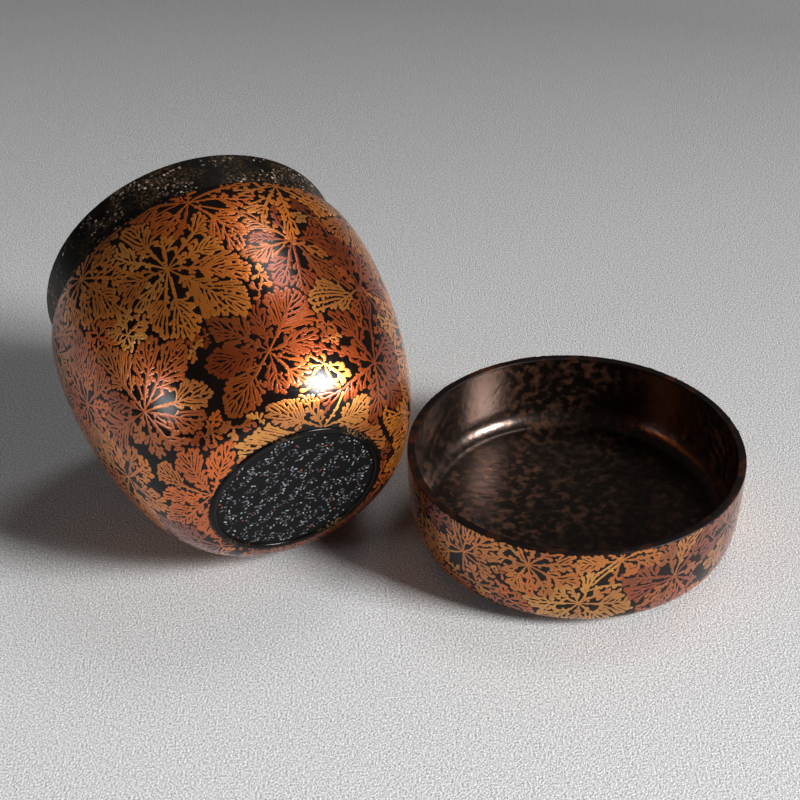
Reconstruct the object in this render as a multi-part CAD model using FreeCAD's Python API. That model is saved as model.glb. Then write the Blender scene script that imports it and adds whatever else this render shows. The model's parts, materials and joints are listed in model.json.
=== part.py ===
"""Natsume tea caddy: the vessel lies on its side and its lid lies upside down beside it.

Every piece is a surface of revolution. The vessel is drawn with its foot at z = 0 and its mouth up,
the lid with its mouth at z = 0 and its crown up, and both are then laid on the table at z = 0.
"""
import math
import os

import FreeCAD
import Part

# Vessel, millimetres
foot_radius = 17.0
shoulder_radius = 33.0
vessel_height = 50.2
ledge_width = 1.8
neck_height = 10.6
neck_wall = 2.1
base_handle_out = 13.2
base_handle_up = 0.4
belly_handle_out = 2.75
belly_handle_down = 12.8

# Inside of the vessel
floor_thickness = 6.2
floor_radius = 9.0
cavity_straight_depth = 29.0
cavity_handle_down = 15.0
cavity_handle_out = 12.0

# Foot
bead_width = 1.3
bead_height = 0.4
bead_land = 0.5

# Lid
lid_height = 19.6
lid_clearance = 0.15
neck_tip_room = 0.3
crown_rise = 2.0
crown_thickness = 2.3
inner_crown_rise = 1.6

# Corners of the lid, as shares of the height between the neck's tip and the edge of the crown
corner_reach_share = 0.45
side_handle_share = 0.57
corner_handle_share = 0.27
inner_side_handle_share = 0.4
inner_corner_handle_share = 0.3

# Lacquer
outer_coat = 0.35
neck_coat = 0.35
rim_coat = 0.35
lining_coat = 0.35
panel_coat = 0.3
rim_rounding = 0.25

# How the two lie on the table, degrees and millimetres
vessel_pitch_angle = 16.7
vessel_turn_angle = 21.3
lid_lean_angle = 1.8
lid_heading_angle = -11.0
lid_behind_foot = 14.8
lid_gap = 0.6

curve_spans = 12
right_angle = 90.0
half_turn = 180.0
full_turn = 360.0
approach_steps = 12
settled_gap = 0.00001

AXIS = FreeCAD.Vector(0, 0, 1)
ORIGIN = FreeCAD.Vector(0, 0, 0)

neck_radius = shoulder_radius - ledge_width
mouth_height = vessel_height + neck_height
mouth_radius = neck_radius - neck_wall
lid_bore_radius = neck_radius + lid_clearance
lid_straight_depth = neck_height + neck_tip_room


def bezier_point(poles, t):
    """Point of a cubic curve with four (radius, height) poles."""
    s = 1 - t
    weights = (s ** 3, 3 * s * s * t, 3 * s * t * t, t ** 3)
    return tuple(sum(w * pole[k] for w, pole in zip(weights, poles)) for k in (0, 1))


def bezier_direction(poles, t):
    """Unit tangent of the same curve."""
    s = 1 - t
    steps = [(q[0] - p[0], q[1] - p[1]) for p, q in zip(poles, poles[1:])]
    weights = (s * s, 2 * s * t, t * t)
    r, z = (sum(w * step[k] for w, step in zip(weights, steps)) for k in (0, 1))
    length = math.hypot(r, z)
    return r / length, z / length


def offset_points(poles, depth):
    """Points along the curve, moved to its left by depth."""
    points = []
    for k in range(curve_spans + 1):
        t = k / curve_spans
        r, z = bezier_point(poles, t)
        dr, dz = bezier_direction(poles, t)
        points.append((r - dz * depth, z + dr * depth))
    return points


def vector(point):
    return FreeCAD.Vector(point[0], 0, point[1])


def line(start, end):
    return Part.makeLine(vector(start), vector(end))


def arc(start, middle, end):
    return Part.Arc(vector(start), vector(middle), vector(end)).toShape()


def rounded_corner(start, corner, end):
    """Quarter round from start to end, in place of the sharp corner."""
    pull = 1 - math.sqrt(0.5)
    middle = tuple(pull * (start[k] + end[k] - 2 * corner[k]) + corner[k] for k in (0, 1))
    return arc(start, middle, end)


def spline(points):
    curve = Part.BSplineCurve()
    curve.interpolate([vector(p) for p in points])
    return curve.toShape()


def turned(edges):
    """Solid swept by a closed half section around the axis."""
    wire = Part.Wire(Part.__sortEdges__(edges))
    return Part.makeSolid(Part.Face(wire).revolve(ORIGIN, AXIS, full_turn))


def dome_middle(radius, edge_height, top_height):
    """Point halfway along a circular dome's half section."""
    rise = top_height - edge_height
    sphere_radius = (radius ** 2 + rise ** 2) / (2 * rise)
    half_angle = math.asin(radius / sphere_radius) / 2
    depth = sphere_radius * (1 - math.cos(half_angle))
    return sphere_radius * math.sin(half_angle), top_height - depth


# Half sections that neighbouring pieces share

vessel_side_poles = [
    (foot_radius, bead_height),
    (foot_radius + base_handle_out, bead_height + base_handle_up),
    (shoulder_radius + belly_handle_out, vessel_height - belly_handle_down),
    (shoulder_radius, vessel_height),
]
vessel_side = offset_points(vessel_side_poles, 0)
vessel_wood = offset_points(vessel_side_poles, outer_coat)
wood_foot = (foot_radius, vessel_wood[0][1])
wood_shoulder = (vessel_wood[-1][0], vessel_height - neck_coat)
ledge_corner = (vessel_wood[-1][0], vessel_height)
vessel_wood = [wood_foot] + vessel_wood[1:-1] + [wood_shoulder]

cavity_poles = [
    (floor_radius, floor_thickness),
    (floor_radius + cavity_handle_out, floor_thickness),
    (mouth_radius, mouth_height - cavity_straight_depth - cavity_handle_down),
    (mouth_radius, mouth_height - cavity_straight_depth),
]
cavity = offset_points(cavity_poles, 0)
cavity_wood = offset_points(cavity_poles, -lining_coat)


def lid_poles(start, handle_end, dome_radius, dome_rise, handle_out, top_height):
    """Side and corner of a lid surface, from start straight up and round to the edge of its dome."""
    slope = 2 * math.atan(dome_rise / dome_radius)
    edge = (dome_radius, top_height - dome_rise)
    corner = (edge[0] + handle_out * math.cos(slope), edge[1] - handle_out * math.sin(slope))
    return [start, (start[0], handle_end), corner, edge]


corner_height = lid_height - crown_rise - lid_straight_depth
crown_radius = shoulder_radius - corner_reach_share * corner_height
lid_side_poles = lid_poles(
    (shoulder_radius, 0), lid_straight_depth + side_handle_share * corner_height,
    crown_radius, crown_rise, corner_handle_share * corner_height, lid_height
)
lid_inside_poles = lid_poles(
    (lid_bore_radius, lid_straight_depth),
    lid_straight_depth + inner_side_handle_share * corner_height,
    crown_radius - crown_thickness, inner_crown_rise,
    inner_corner_handle_share * corner_height, lid_height - crown_thickness
)
lid_side = offset_points(lid_side_poles, 0)
lid_wood = offset_points(lid_side_poles, outer_coat)
lid_inside = offset_points(lid_inside_poles, 0)
lid_inside_wood = offset_points(lid_inside_poles, -lining_coat)
lid_wood_top = (0, lid_height - outer_coat)
lid_inside_top = (0, lid_height - crown_thickness)
lid_inside_wood_top = (0, lid_inside_top[1] + lining_coat)


def dome(edge, top):
    """Arc from the edge of a dome to its top on the axis."""
    return arc(edge, dome_middle(edge[0], edge[1], top[1]), top)


def vessel_core():
    """Turned wooden vessel with its neck in one piece."""
    ledge = vessel_height - neck_coat
    lip = mouth_height - rim_coat
    floor = floor_thickness - lining_coat
    outer = neck_radius - neck_coat
    inner = mouth_radius + lining_coat
    return turned([
        line((0, wood_foot[1]), wood_foot),
        spline(vessel_wood),
        line(wood_shoulder, (outer, ledge)),
        line((outer, ledge), (outer, lip)),
        line((outer, lip), (inner, lip)),
        line((inner, lip), cavity_wood[-1]),
        spline(cavity_wood),
        line(cavity_wood[0], (0, floor)),
        line((0, floor), (0, wood_foot[1])),
    ])


def vessel_coat():
    """Black lacquer over the outside, from the foot bead to the shoulder."""
    return turned([
        spline(vessel_side),
        line(vessel_side[-1], ledge_corner),
        line(ledge_corner, wood_shoulder),
        spline(vessel_wood),
        line(wood_foot, vessel_side[0]),
    ])


def neck_lacquer():
    """Flecked lacquer on the shoulder ledge and up the outside of the neck."""
    ledge = vessel_height - neck_coat
    lip = mouth_height - rim_coat
    inner = neck_radius - neck_coat
    return turned([
        line(ledge_corner, (neck_radius, vessel_height)),
        line((neck_radius, vessel_height), (neck_radius, lip)),
        line((neck_radius, lip), (inner, lip)),
        line((inner, lip), (inner, ledge)),
        line((inner, ledge), wood_shoulder),
        line(wood_shoulder, ledge_corner),
    ])


def rounded_rim(inner, outer, base, top):
    """Ring with a flat seat at base and both corners rounded at top, which may be above or below."""
    shoulder = top - math.copysign(rim_rounding, top - base)
    inner_flat = inner + rim_rounding
    outer_flat = outer - rim_rounding
    return turned([
        line((inner, base), (outer, base)),
        line((outer, base), (outer, shoulder)),
        rounded_corner((outer, shoulder), (outer, top), (outer_flat, top)),
        line((outer_flat, top), (inner_flat, top)),
        rounded_corner((inner_flat, top), (inner, top), (inner, shoulder)),
        line((inner, shoulder), (inner, base)),
    ])


def mouth_rim():
    """Lacquer over the edge of the vessel's mouth."""
    return rounded_rim(mouth_radius, neck_radius, mouth_height - rim_coat, mouth_height)


def vessel_lining():
    """Black lacquer inside the vessel, up to the rim's lacquer."""
    lip = mouth_height - rim_coat
    floor = floor_thickness
    return turned([
        line((0, floor), cavity[0]),
        spline(cavity),
        line(cavity[-1], (mouth_radius, lip)),
        line((mouth_radius, lip), (mouth_radius + lining_coat, lip)),
        line((mouth_radius + lining_coat, lip), cavity_wood[-1]),
        spline(cavity_wood),
        line(cavity_wood[0], (0, floor - lining_coat)),
        line((0, floor - lining_coat), (0, floor)),
    ])


def foot_bead():
    """Rounded bead of built-up lacquer around the foot, with the narrow flat that it stands on."""
    inner = foot_radius - bead_width
    inner_land = foot_radius - (bead_width + bead_land) / 2
    outer_land = inner_land + bead_land
    return turned([
        rounded_corner((inner, bead_height), (inner, 0), (inner_land, 0)),
        line((inner_land, 0), (outer_land, 0)),
        rounded_corner((outer_land, 0), (foot_radius, 0), (foot_radius, bead_height)),
        line((foot_radius, bead_height), wood_foot),
        line(wood_foot, (inner, wood_foot[1])),
        line((inner, wood_foot[1]), (inner, bead_height)),
    ])


def foot_panel():
    """Silver-flecked lacquer disc sunk inside the bead."""
    return Part.makeCylinder(
        foot_radius - bead_width, panel_coat, FreeCAD.Vector(0, 0, wood_foot[1] - panel_coat)
    )


def lid_core():
    """Turned wooden lid."""
    return turned([
        line((lid_wood[0][0], rim_coat), (lid_inside_wood[0][0], rim_coat)),
        line((lid_inside_wood[0][0], rim_coat), lid_inside_wood[0]),
        spline(lid_inside_wood),
        dome(lid_inside_wood[-1], lid_inside_wood_top),
        line(lid_inside_wood_top, lid_wood_top),
        dome(lid_wood[-1], lid_wood_top),
        spline([(lid_wood[0][0], rim_coat)] + lid_wood[1:]),
    ])


def lid_coat():
    """Black lacquer over the side and the crown."""
    foot = (lid_wood[0][0], rim_coat)
    edge = lid_side[-1]
    top = (0, lid_height)
    return turned([
        line((shoulder_radius, rim_coat), foot),
        spline([foot] + lid_wood[1:]),
        dome(lid_wood[-1], lid_wood_top),
        line(lid_wood_top, top),
        dome(edge, top),
        spline([(shoulder_radius, rim_coat)] + lid_side[1:]),
    ])


def lid_lining():
    """Clouded lacquer inside the lid."""
    bore = (lid_bore_radius, rim_coat)
    wood = (lid_bore_radius + lining_coat, rim_coat)
    return turned([
        line(bore, lid_inside[0]),
        spline(lid_inside),
        dome(lid_inside[-1], lid_inside_top),
        line(lid_inside_top, lid_inside_wood_top),
        dome(lid_inside_wood[-1], lid_inside_wood_top),
        spline(lid_inside_wood),
        line(lid_inside_wood[0], wood),
        line(wood, bore),
    ])


def lid_rim():
    """Dark lacquer over the edge of the lid."""
    return rounded_rim(lid_bore_radius, shoulder_radius, rim_coat, 0)


def turn_about(shapes, axis, angle):
    """Turn every piece about a line through the origin."""
    for shape in shapes:
        shape.rotate(ORIGIN, axis, angle)


def move(shapes, step):
    for shape in shapes:
        shape.translate(step)


def outside(points):
    """Surface that a side's curve sweeps around the axis."""
    return spline(points).revolve(ORIGIN, AXIS, full_turn)


def stand_on_table(shapes, lowest):
    """Raise or lower the pieces until the lowest one touches z = 0."""
    move(shapes, FreeCAD.Vector(0, 0, -lowest.optimalBoundingBox().ZMin))


def build():
    """Every piece in place, as {name: solid}, with the marks that the interfaces need."""
    vessel = {
        "vessel_core": vessel_core(),
        "vessel_coat": vessel_coat(),
        "vessel_neck_coat": neck_lacquer(),
        "vessel_mouth_rim": mouth_rim(),
        "vessel_lining": vessel_lining(),
        "foot_bead": foot_bead(),
        "foot_panel": foot_panel(),
    }
    lid = {
        "lid_core": lid_core(),
        "lid_coat": lid_coat(),
        "lid_lining": lid_lining(),
        "lid_rim": lid_rim(),
    }
    marks = {
        "foot centre": Part.Vertex(0, 0, 0),
        "middle of the neck": Part.Vertex(0, 0, vessel_height + neck_height / 2),
        "mouth centre": Part.Vertex(0, 0, mouth_height),
        "foot land": Part.Vertex(foot_radius - bead_width / 2, 0, 0),
    }
    lid_marks = {
        "lid mouth centre": Part.Vertex(0, 0, 0),
        "middle of the lid's straight wall": Part.Vertex(0, 0, lid_straight_depth / 2),
        "lid crown": Part.Vertex(0, 0, lid_height),
    }

    vessel_outside = outside(vessel_side)
    lid_outside = [outside([(shoulder_radius, rim_coat)] + lid_side[1:]), lid["lid_rim"]]
    vessel_shapes = list(vessel.values()) + list(marks.values()) + [vessel_outside]
    turn_about(vessel_shapes, FreeCAD.Vector(1, 0, 0), vessel_pitch_angle - right_angle)
    turn_about(vessel_shapes, AXIS, vessel_turn_angle)
    stand_on_table(vessel_shapes, vessel["vessel_coat"])

    lid_shapes = list(lid.values()) + list(lid_marks.values()) + lid_outside[:1]
    heading = math.radians(lid_heading_angle)
    turn_about(lid_shapes, FreeCAD.Vector(1, 0, 0), half_turn)
    turn_about(lid_shapes, FreeCAD.Vector(-math.sin(heading), math.cos(heading), 0), lid_lean_angle)
    clear_of_vessel = vessel_height + 2 * shoulder_radius
    mouth = lid_marks["lid mouth centre"].Point
    move(lid_shapes, FreeCAD.Vector(clear_of_vessel, lid_behind_foot, 0) - mouth)
    stand_on_table(lid_shapes, lid["lid_coat"])
    for _ in range(approach_steps):
        nearest = min(shape.distToShape(vessel_outside)[0] for shape in lid_outside)
        move(lid_shapes, FreeCAD.Vector(lid_gap - nearest, 0, 0))
        if abs(lid_gap - nearest) < settled_gap:
            break

    pieces = {**vessel, **lid}
    box = FreeCAD.BoundBox()
    for shape in pieces.values():
        box.add(shape.optimalBoundingBox())
    middle = FreeCAD.Vector(box.Center.x, box.Center.y, box.ZMin)
    move(vessel_shapes + lid_shapes, middle * -1)
    return pieces, {**marks, **lid_marks}


def main():
    os.makedirs("parts", exist_ok=True)
    pieces, marks = build()
    for name, shape in pieces.items():
        print(f"{name}: valid {shape.isValid()}, {len(shape.Solids)} solid, {shape.Volume:.1f} mm3")
        shape.exportStep(f"parts/{name}.step")
    for name, mark in marks.items():
        print(f"{name}: {mark.Point.x:.4f} {mark.Point.y:.4f} {mark.Point.z:.4f}")


main()
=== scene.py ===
"""Natsume tea caddy, dressed: turned wood under black lacquer, with leaf sprays in gold powder.

Lengths are in millimetres until a mesh is made, and in metres there. Each turned piece is drawn
around its own axis, with height z from the vessel's foot or from the lid's mouth, and is laid down
as the record says.
"""
import json
import math

import bmesh
import bpy
import numpy as np
from mathutils import Matrix


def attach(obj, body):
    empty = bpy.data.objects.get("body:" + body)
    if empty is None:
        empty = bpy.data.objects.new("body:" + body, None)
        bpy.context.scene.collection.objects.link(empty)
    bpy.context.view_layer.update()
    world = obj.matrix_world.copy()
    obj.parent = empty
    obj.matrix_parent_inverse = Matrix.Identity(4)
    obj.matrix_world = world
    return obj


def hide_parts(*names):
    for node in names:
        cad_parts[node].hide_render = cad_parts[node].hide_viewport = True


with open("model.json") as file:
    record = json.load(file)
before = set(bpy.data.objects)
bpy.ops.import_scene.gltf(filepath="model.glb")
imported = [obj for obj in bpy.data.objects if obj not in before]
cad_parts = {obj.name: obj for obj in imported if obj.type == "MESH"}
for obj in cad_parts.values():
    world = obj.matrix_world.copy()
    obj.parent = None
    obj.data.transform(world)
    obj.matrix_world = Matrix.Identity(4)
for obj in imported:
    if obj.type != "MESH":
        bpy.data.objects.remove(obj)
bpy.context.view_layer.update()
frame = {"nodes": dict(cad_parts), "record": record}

MM = 0.001

# Sizes of the turned pieces, the same as in the part's source
FOOT_RADIUS = 17.0
SHOULDER_RADIUS = 33.0
VESSEL_HEIGHT = 50.2
NECK_RADIUS = 31.2
NECK_HEIGHT = 10.6
MOUTH_HEIGHT = VESSEL_HEIGHT + NECK_HEIGHT
MOUTH_RADIUS = 29.1
FLOOR_HEIGHT = 6.2
BEAD_WIDTH = 1.3
BEAD_HEIGHT = 0.4
BEAD_LAND = 0.5
COAT = 0.35
PANEL = 0.3
ROUNDING = 0.25
LID_HEIGHT = 19.6
BORE_RADIUS = 31.35
BORE_DEPTH = 10.9
LID_INSIDE_TOP = 17.3
# Poles of the drawn curves, each a pair of radius and height
VESSEL_SIDE = ((FOOT_RADIUS, BEAD_HEIGHT), (30.2, 0.8), (35.75, 37.4),
               (SHOULDER_RADIUS, VESSEL_HEIGHT))
CAVITY_SIDE = ((9.0, FLOOR_HEIGHT), (21.0, FLOOR_HEIGHT), (MOUTH_RADIUS, 16.8),
               (MOUTH_RADIUS, 31.8))
LID_SIDE = ((SHOULDER_RADIUS, 0.0), (SHOULDER_RADIUS, 14.719), (31.778, 17.36), (29.985, 17.6))
LID_INSIDE = ((BORE_RADIUS, BORE_DEPTH), (BORE_RADIUS, 13.58), (29.682, 15.468), (27.685, 15.7))

# How finely the pieces are drawn: points along each curve, and steps round the axis
VESSEL_POINTS = 97
CAVITY_POINTS = 65
LID_POINTS = 81
LID_INSIDE_POINTS = 49
DOME_POINTS = 40
ROUNDING_POINTS = 7
SEGMENTS = 240
SHARP_ANGLE = math.radians(35)
# Points nearer than the first are merged, and edges shorter than the second dissolved, in metres
MERGED = 1e-7
DISSOLVED = 1e-8

# Leaf sprays in gold powder, from large to small: how far they stay from what is drawn already, the
# distance between them, fewest and most leaves, shortest and longest leaf, and the pieces they are
# dealt out over. Distances and leaves are shares of the pattern's spacing
SPRAY_SIZES = {
    "large": (0.0, 1.0, (8, 11), (0.6, 1.2), 4),
    "middle": (0.085, 0.32, (4, 6), (0.3, 0.52), 1),
    "small": (0.05, 0.14, (3, 4), (0.14, 0.28), 1),
}
SPOTS_TRIED = 5000
FAN_JITTER = 0.3  # share of the angle between two leaves
# A leaf: its width, as a share of its length, how far its midrib bows, and the middle, the half
# length and the power of its oval, the first two as such shares
LEAF_WIDTH_SHARES = (0.28, 0.39)
LEAF_BOW = 1.6
OVAL_MIDDLE_SHARE = 0.5
OVAL_HALF_SHARE = 0.54
OVAL_POWER = 1.6
# Its midrib: share of the length that it runs, points that are tried along it, how far from the
# centre it may cross other leaves, and what is left of it at least
MIDRIB_SHARE = 0.5
MIDRIB_POINTS = 16
CROWDED_CENTRE = 2.0
MIDRIB_LEFT = 0.01
# Its ground: how much deeper a spot lies in it than in any other leaf, what counts as outside of a
# leaf, from how many leaf lengths off, and how many spots are worked out at a time
LEAF_MARGIN = 0.04
OUTSIDE = 9.0
FAR_OFF = 1.3
BLOCK = 20000
# Lobes along both sides of it: their length, how far the two sides are out of step in radians, how
# wide the notch between two is, how fast it closes, and the narrow slit that is left of it
LOBE = 2.5
LOBE_SHIFT = 2.2
NOTCH = 0.1
NOTCH_CLOSING = 3.4
SLIT = 0.86
# Its branches
STEP = 0.27  # length of a step
SPOT = 0.28  # distance between the spots to be covered
KILL = (0.3, 0.39)  # how near a branch covers a spot, at the leaf's root and from KILL_REACH on
KILL_REACH = 9.0
REACH = 2.0  # a spot farther off draws no branch
CLEARANCE = 0.33  # least distance to another branch
OWN_CLEARANCE = 0.55 * STEP  # least distance to the branch's own last steps
ROOM = 0.4  # least distance to what is drawn already
BRANCH_SLOPE = 0.8  # how far a branch slides along the midrib for its distance from it
BRANCH_ROUNDING = 0.4  # distance over which it turns out of the midrib
OWN_LEAN = 0.5  # share of its own course in a step
OUTWARD_LEAN = 0.4  # share of the way out from the spray's middle in a step
GROWTH_ROUNDS = 80
MOST_TRIES = 3
SMOOTHINGS = 3
NOWHERE = 1e9
# Half widths of a stroke at its root, along its stem and at its tip, the lengths over which it gets
# from one to the next, the length under which its tip is smaller, and that tip's least share
ROOT = 0.17
STEM = 0.23
TIP = 0.41
WIDENING = 3.0
CLUB = 1.1
SHORT_STROKE = 1.6
LEAST_TIP = 0.15
# How fine strokes are at the spray's middle, and how far out they have their full width
FINE_SHARE = 0.75
FINE_REACH = 4.0
# Rows of a stroke's round end: how far forward and how wide, as shares of its half width
END_FORWARD = np.array([0.0, 0.5, 0.87, 1.0])
END_WIDTH = np.array([1.0, 0.87, 0.5, 0.1])
# A stroke's section: share of its half width to the side, and height over the lacquer
SECTION = ((-1.06, -0.004), (-0.8, 0.008), (0.8, 0.008), (1.06, -0.004))
# Flakes and dust: corners, how deep the edge is sunk, and how high the middle stands
FLAKE_CORNERS = 8
FLAKE_SUNK = 0.004
FLAKE_RISE = 0.03

# Angle to either side over which a surface's normal is taken, in radians
NUDGE = 2e-3
# One whole number for a grid's cell: shift that keeps its steps positive, and weights of the steps
CELL_SHIFT = 500
CELL_WEIGHTS = np.array([10 ** 6, 10 ** 3, 1])
# Width of a full turn in a piece's map, which leaves room for the faces across the seam
MAP_WIDTH = 0.95


def unit(v):
    """Vectors divided by their length."""
    return v / np.maximum(np.linalg.norm(v, axis=-1, keepdims=True), 1e-12)


def curve(poles, count):
    """Cubic curve as rows of (radius, height).

    The poles have the weights (1-t)^3, 3(1-t)^2 t, 3(1-t)t^2 and t^3.
    """
    t = np.linspace(0, 1, count)[:, None]
    s = 1 - t
    a, b, c, d = np.asarray(poles, float)
    return s ** 3 * a + 3 * s * s * t * b + 3 * s * t * t * c + t ** 3 * d


def dome(edge, top, count):
    """Arc of a circle from the edge of a dome to its top on the axis."""
    rise = top - edge[1]
    ball = (edge[0] ** 2 + rise ** 2) / (2 * rise)
    angle = np.linspace(np.arcsin(edge[0] / ball), 0, count)
    return np.stack([ball * np.sin(angle), top - ball * (1 - np.cos(angle))], 1)


def quarter(centre, radius, start, end):
    """Points centre + radius (cos a, sin a) of a round, for a from start to end in degrees."""
    a = np.radians(np.linspace(start, end, ROUNDING_POINTS))
    return np.stack([centre[0] + radius[0] * np.cos(a), centre[1] + radius[1] * np.sin(a)], 1)


def inset(outline, depth):
    """The outline moved by depth to its left, square to its own direction."""
    run = unit(np.gradient(outline, axis=0))
    return outline + depth * np.stack([-run[:, 1], run[:, 0]], 1)


def pose(mount, distance):
    """Origin and the rows x, y, z of a piece's own axes; the mount lies at distance along z."""
    place = next(m for m in frame["record"]["mounts"] if m["name"] == mount)
    z = unit(np.array(place["axis"], float))
    origin = np.array(place["pos_m"], float) / MM - distance * z
    x = unit(np.cross([0, 1.0, 0], z))
    return origin, np.array([x, np.cross(z, x), z])


vessel_origin, vessel_axes = pose("neck", VESSEL_HEIGHT + (NECK_HEIGHT - ROUNDING) / 2)
# The lid's own z runs from its mouth up to its crown, against the axis of its mount
lid_mouth, lid_axes = pose("lid_mouth", -(ROUNDING + BORE_DEPTH) / 2)
lid_axes = lid_axes * [[1], [-1], [-1]]
PLACES = {"vessel": (vessel_origin, vessel_axes), "lid": (lid_mouth, lid_axes)}


def placed(points, body):
    """Points of a piece's own axes as points of the shared frame, in metres."""
    origin, axes = PLACES[body]
    return (np.asarray(points) @ axes + origin) * MM


def add_mesh(name, vertices, faces, body, material):
    """A new piece from arrays of vertices (metres) and of faces, all with as many corners."""
    mesh = bpy.data.meshes.new(name)
    mesh.vertices.add(len(vertices))
    mesh.vertices.foreach_set("co", np.ascontiguousarray(vertices, np.float32).ravel())
    mesh.loops.add(faces.size)
    mesh.loops.foreach_set("vertex_index", np.ascontiguousarray(faces, np.int32).ravel())
    mesh.polygons.add(len(faces))
    mesh.polygons.foreach_set("loop_start", np.arange(len(faces), dtype=np.int32) * faces.shape[1])
    mesh.update(calc_edges=True)
    mesh.polygons.foreach_set("use_smooth", np.ones(len(faces), bool))
    mesh.set_sharp_from_angle(angle=SHARP_ANGLE)
    piece = bpy.data.objects.new(name, mesh)
    bpy.context.scene.collection.objects.link(piece)
    mesh.materials.append(material)
    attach(piece, body)
    return piece


def turned(name, section, body, node, material):
    """Shell swept by a closed section around the axis: x = r cos a, y = r sin a, z = height."""
    section = np.asarray(section, float)
    count = len(section)
    angle = np.arange(SEGMENTS) / SEGMENTS * 2 * np.pi
    r, z = section[:, 0], section[:, 1]
    points = np.stack([np.outer(np.cos(angle), r), np.outer(np.sin(angle), r),
                       np.tile(z, (SEGMENTS, 1))], -1)
    i, j = np.meshgrid(np.arange(SEGMENTS), np.arange(count), indexing="ij")
    i2, j2 = (i + 1) % SEGMENTS, (j + 1) % count
    faces = np.stack([i * count + j, i2 * count + j, i2 * count + j2, i * count + j2], -1)
    faces = faces.reshape(-1, 4)
    piece = add_mesh(name, placed(points.reshape(-1, 3), body), faces, body, material)
    merged = bmesh.new()
    merged.from_mesh(piece.data)
    bmesh.ops.remove_doubles(merged, verts=merged.verts, dist=MERGED)
    bmesh.ops.dissolve_degenerate(merged, edges=merged.edges, dist=DISSOLVED)
    bmesh.ops.recalc_face_normals(merged, faces=merged.faces)
    merged.to_mesh(piece.data)
    merged.free()
    piece.data.set_sharp_from_angle(angle=SHARP_ANGLE)
    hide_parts(node)
    return piece


def srgb(code):
    """Linear red, green, blue and alpha of an sRGB hex colour."""
    channels = [int(code[k:k + 2], 16) / 255 for k in (1, 3, 5)]
    return [c / 12.92 if c <= 0.04045 else ((c + 0.055) / 1.055) ** 2.4 for c in channels] + [1.0]


def across(size_mm):
    """Texture scale, per metre, at which the features are about size_mm across."""
    return 1 / (size_mm * MM)


def finish(name):
    """A new material that has one node, and that node's output with the place on the piece."""
    material = bpy.data.materials.new(name)
    material.use_nodes = True
    material.node_tree.nodes.clear()
    return material, node(material, "ShaderNodeTexCoord", {})["Object"]


def node(material, kind, settings, links=None):
    """Adds a node and gives its outputs.

    Settings go to its properties or sockets, and links feed its sockets.
    """
    made = material.node_tree.nodes.new(kind)
    for key, value in settings.items():
        if isinstance(key, str) and hasattr(made, key):
            setattr(made, key, value)
        else:
            made.inputs[key].default_value = value
    for key, source in (links or {}).items():
        material.node_tree.links.new(source, made.inputs[key])
    return made.outputs


# Kinds of nodes
NOISE = "ShaderNodeTexNoise"
RANGE = "ShaderNodeMapRange"
MIX = "ShaderNodeMix"
MATH = "ShaderNodeMath"
VECTOR_MATH = "ShaderNodeVectorMath"
ATTRIBUTE = "ShaderNodeAttribute"
BUMP = "ShaderNodeBump"
PRINCIPLED = "ShaderNodeBsdfPrincipled"
OUTPUT = "ShaderNodeOutputMaterial"
# Inputs of the mix node that hold its two colours, and the output with the mixed colour
FIRST, SECOND, MIXED = 6, 7, 2

# Natural lacquer rubbed to a polish: near black, a clear reflection, a trace of brush lines
black_lacquer, place = finish("polished_black_lacquer")
cloud = node(black_lacquer, NOISE, {"Scale": across(6)}, {"Vector": place})[0]
colour = node(black_lacquer, MIX,
              {"data_type": "RGBA", FIRST: srgb("#080504"), SECOND: srgb("#140c09")},
              {0: cloud})[MIXED]
grain = node(black_lacquer, NOISE, {"Scale": across(0.5)}, {"Vector": place})[0]
gloss = node(black_lacquer, RANGE, {"To Min": 0.08, "To Max": 0.3}, {"Value": grain})[0]
relief = node(black_lacquer, BUMP, {"Distance": 0.004 * MM}, {"Height": grain})[0]
surface = node(black_lacquer, PRINCIPLED, {"IOR": 1.34},
               {"Base Color": colour, "Roughness": gloss, "Normal": relief})[0]
node(black_lacquer, OUTPUT, {}, {"Surface": surface})

# Gold and copper powder sprinkled on wet lacquer, then sealed: satin metal grain under clear film.
# The powder of each leaf is stored on its points, and drifts to red where the copper lies thicker
gold_powder, place = finish("sprinkled_gold_powder")
powder = node(gold_powder, ATTRIBUTE, {"attribute_name": "tint"})["Color"]
drift = node(gold_powder, NOISE, {"Scale": across(9)}, {"Vector": place})[0]
redden = node(gold_powder, RANGE,
              {"From Min": 0.45, "From Max": 0.8, "To Min": 0.0, "To Max": 0.55},
              {"Value": drift})[0]
colour = node(gold_powder, MIX, {"data_type": "RGBA", SECOND: srgb("#a04e20")},
              {0: redden, FIRST: powder})[MIXED]
grain = node(gold_powder, NOISE, {"Scale": across(0.16), "Roughness": 0.7}, {"Vector": place})[0]
sparkle = node(gold_powder, RANGE,
               {"From Min": 0.25, "From Max": 0.75, "To Min": 0.72, "To Max": 1.22},
               {"Value": grain})[0]
colour = node(gold_powder, VECTOR_MATH, {"operation": "SCALE"}, {0: colour, "Scale": sparkle})[0]
satin = node(gold_powder, RANGE, {"To Min": 0.31, "To Max": 0.48}, {"Value": grain})[0]
relief = node(gold_powder, BUMP, {"Distance": 0.006 * MM, "Strength": 0.6}, {"Height": grain})[0]
surface = node(gold_powder, PRINCIPLED,
               {"Metallic": 0.85, "Coat Weight": 0.8, "Coat Roughness": 0.18, "Coat IOR": 1.56},
               {"Base Color": colour, "Roughness": satin, "Normal": relief})[0]
node(gold_powder, OUTPUT, {}, {"Surface": surface})

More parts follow.
